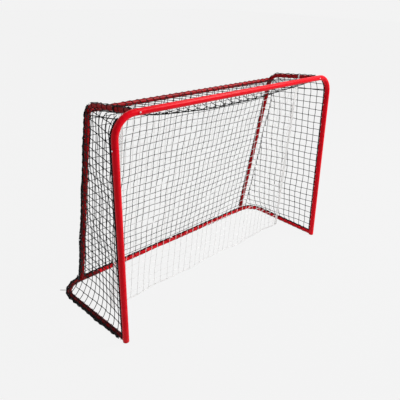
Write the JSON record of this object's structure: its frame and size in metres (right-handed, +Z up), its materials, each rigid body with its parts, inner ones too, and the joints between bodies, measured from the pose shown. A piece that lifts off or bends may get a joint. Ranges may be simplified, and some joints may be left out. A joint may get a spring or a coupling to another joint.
{
  "type": "floorball goal",
  "caption": "Red tubular floorball goal with rounded front corners, a black net on the back, sides and roof, and a white drop net hung inside.",
  "frame": {"origin": "on the floor, under the middle of the goal's outer box", "axes": "+X to the right seen from in front of the mouth, -Y out of the mouth, +Y to the rear, +Z up"},
  "size_m": [1.7106, 0.6536, 1.182],
  "materials": {
    "red_paint": "gloss powder coat",
    "foot_cap": "moulded",
    "spring_steel": "zinc plated",
    "black_twine": "braided polyethylene twine",
    "white_twine": "braided polyester twine"
  },
  "bodies": {
    "frame": {"post_left": "red_paint", "post_right": "red_paint", "foot_cap_left": "foot_cap", "foot_cap_right": "foot_cap", "corner_elbow_left": "red_paint", "corner_elbow_right": "red_paint", "crossbar": "red_paint", "base_bar_left": "red_paint", "base_bar_right": "red_paint", "base_rear_bar": "red_paint", "side_hoop_left": "red_paint", "side_hoop_right": "red_paint", "rear_top_bar": "red_paint", "button_leaf_crossbar_left": "spring_steel", "button_leaf_crossbar_right": "spring_steel", "button_leaf_post_left": "spring_steel", "button_leaf_post_right": "spring_steel", "button_leaf_base_left": "spring_steel", "button_leaf_base_right": "spring_steel", "net_back": "black_twine", "net_roof": "black_twine", "net_side_left": "black_twine", "net_side_right": "black_twine", "net_roll_left": "black_twine", "net_roll_right": "black_twine", "post_cord_left": "black_twine", "post_cord_right": "black_twine", "lacing_knot": "black_twine", "lacing_tail": "black_twine", "drop_net_line": "white_twine", "drop_net_tie_left": "black_twine", "drop_net_tie_right": "white_twine"},
    "drop_net_body": {"drop_net": "white_twine", "drop_net_hem": "white_twine"},
    "snap_button_crossbar_left_body": {"snap_button_crossbar_left": "spring_steel"},
    "snap_button_crossbar_right_body": {"snap_button_crossbar_right": "spring_steel"},
    "snap_button_post_left_body": {"snap_button_post_left": "spring_steel"},
    "snap_button_post_right_body": {"snap_button_post_right": "spring_steel"},
    "snap_button_base_left_body": {"snap_button_base_left": "spring_steel"},
    "snap_button_base_right_body": {"snap_button_base_right": "spring_steel"}
  },
  "joints": [
    {"name": "drop_net_swing", "type": "hinge", "parent": "frame", "child": "drop_net_body", "pos_m": [0, -0.15775, 1.13168], "axis": [1, 0, 0], "range_deg": [-30, 14]},
    {"name": "snap_button_crossbar_left_press", "type": "slide", "parent": "frame", "child": "snap_button_crossbar_left_body", "axis": [0, 1, 0], "range_m": [0, 0.0045], "stiffness_N_per_m": 500, "springref_m": -0.003},
    {"name": "snap_button_crossbar_right_press", "type": "slide", "parent": "frame", "child": "snap_button_crossbar_right_body", "axis": [0, 1, 0], "range_m": [0, 0.0045], "stiffness_N_per_m": 500, "springref_m": -0.003},
    {"name": "snap_button_post_left_press", "type": "slide", "parent": "frame", "child": "snap_button_post_left_body", "axis": [1, 0, 0], "range_m": [0, 0.0045], "stiffness_N_per_m": 500, "springref_m": -0.003},
    {"name": "snap_button_post_right_press", "type": "slide", "parent": "frame", "child": "snap_button_post_right_body", "axis": [-1, 0, 0], "range_m": [0, 0.0045], "stiffness_N_per_m": 500, "springref_m": -0.003},
    {"name": "snap_button_base_left_press", "type": "slide", "parent": "frame", "child": "snap_button_base_left_body", "axis": [0, -1, 0], "range_m": [0, 0.0045], "stiffness_N_per_m": 500, "springref_m": -0.003},
    {"name": "snap_button_base_right_press", "type": "slide", "parent": "frame", "child": "snap_button_base_right_body", "axis": [0, -1, 0], "range_m": [0, 0.0045], "stiffness_N_per_m": 500, "springref_m": -0.003}
  ]
}
